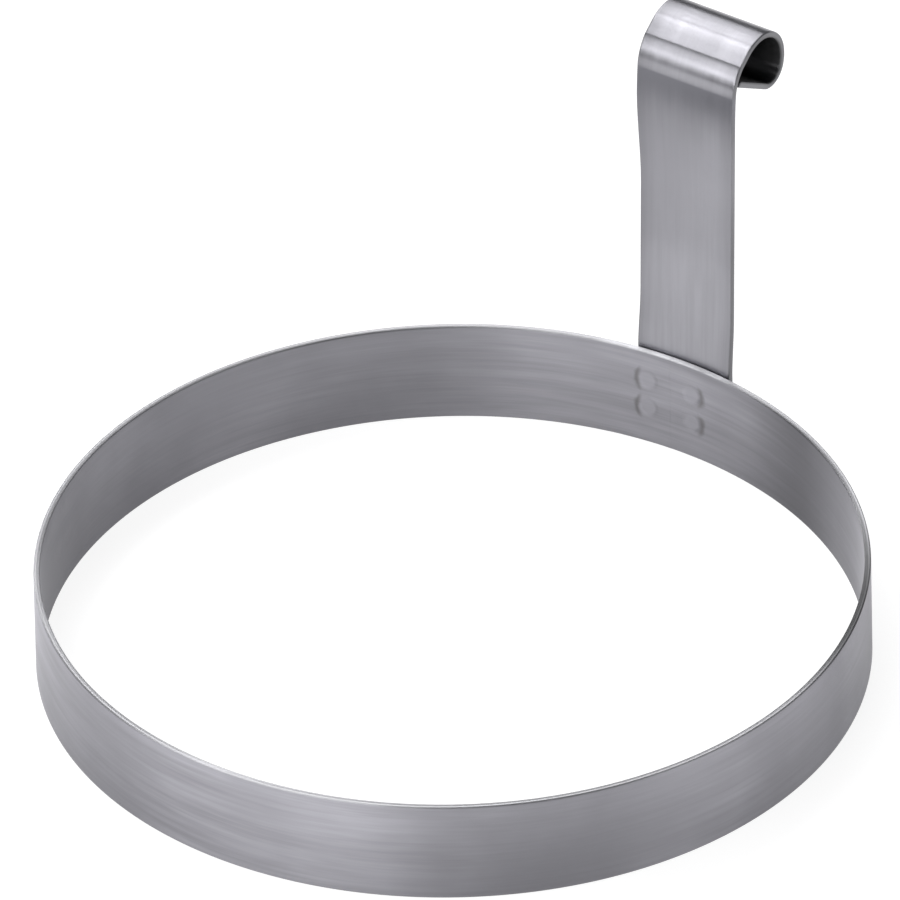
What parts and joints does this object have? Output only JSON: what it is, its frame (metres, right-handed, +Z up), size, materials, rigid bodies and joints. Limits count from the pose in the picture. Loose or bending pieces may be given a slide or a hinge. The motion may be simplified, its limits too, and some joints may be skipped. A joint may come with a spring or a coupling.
{
  "type": "egg ring",
  "caption": "Round egg ring of flat steel strip with a tall upright strap handle, spot-welded to its outer wall and rolled at the top into a tubular grip.",
  "frame": {"origin": "centre of the bounding box's bottom face, in the plane of the ring's lower rim; the ring's axis stands 9.81 mm from it towards -Y", "axes": "+Z up along the ring's axis, +Y from the ring towards its handle, +X across the handle"},
  "size_m": [0.152, 0.1716, 0.0887],
  "materials": {
    "band_steel": "fine grain running round the ring",
    "strap_steel": "fine grain running along the strap, brighter on the grip",
    "weld_steel": "dull, heat-darkened weld metal"
  },
  "bodies": {
    "root": {"ring_band": "band_steel", "handle_strap": "strap_steel", "spot_weld_lower_left": "weld_steel", "spot_weld_lower_right": "weld_steel", "spot_weld_upper_left": "weld_steel", "spot_weld_upper_right": "weld_steel"}
  },
  "joints": []
}
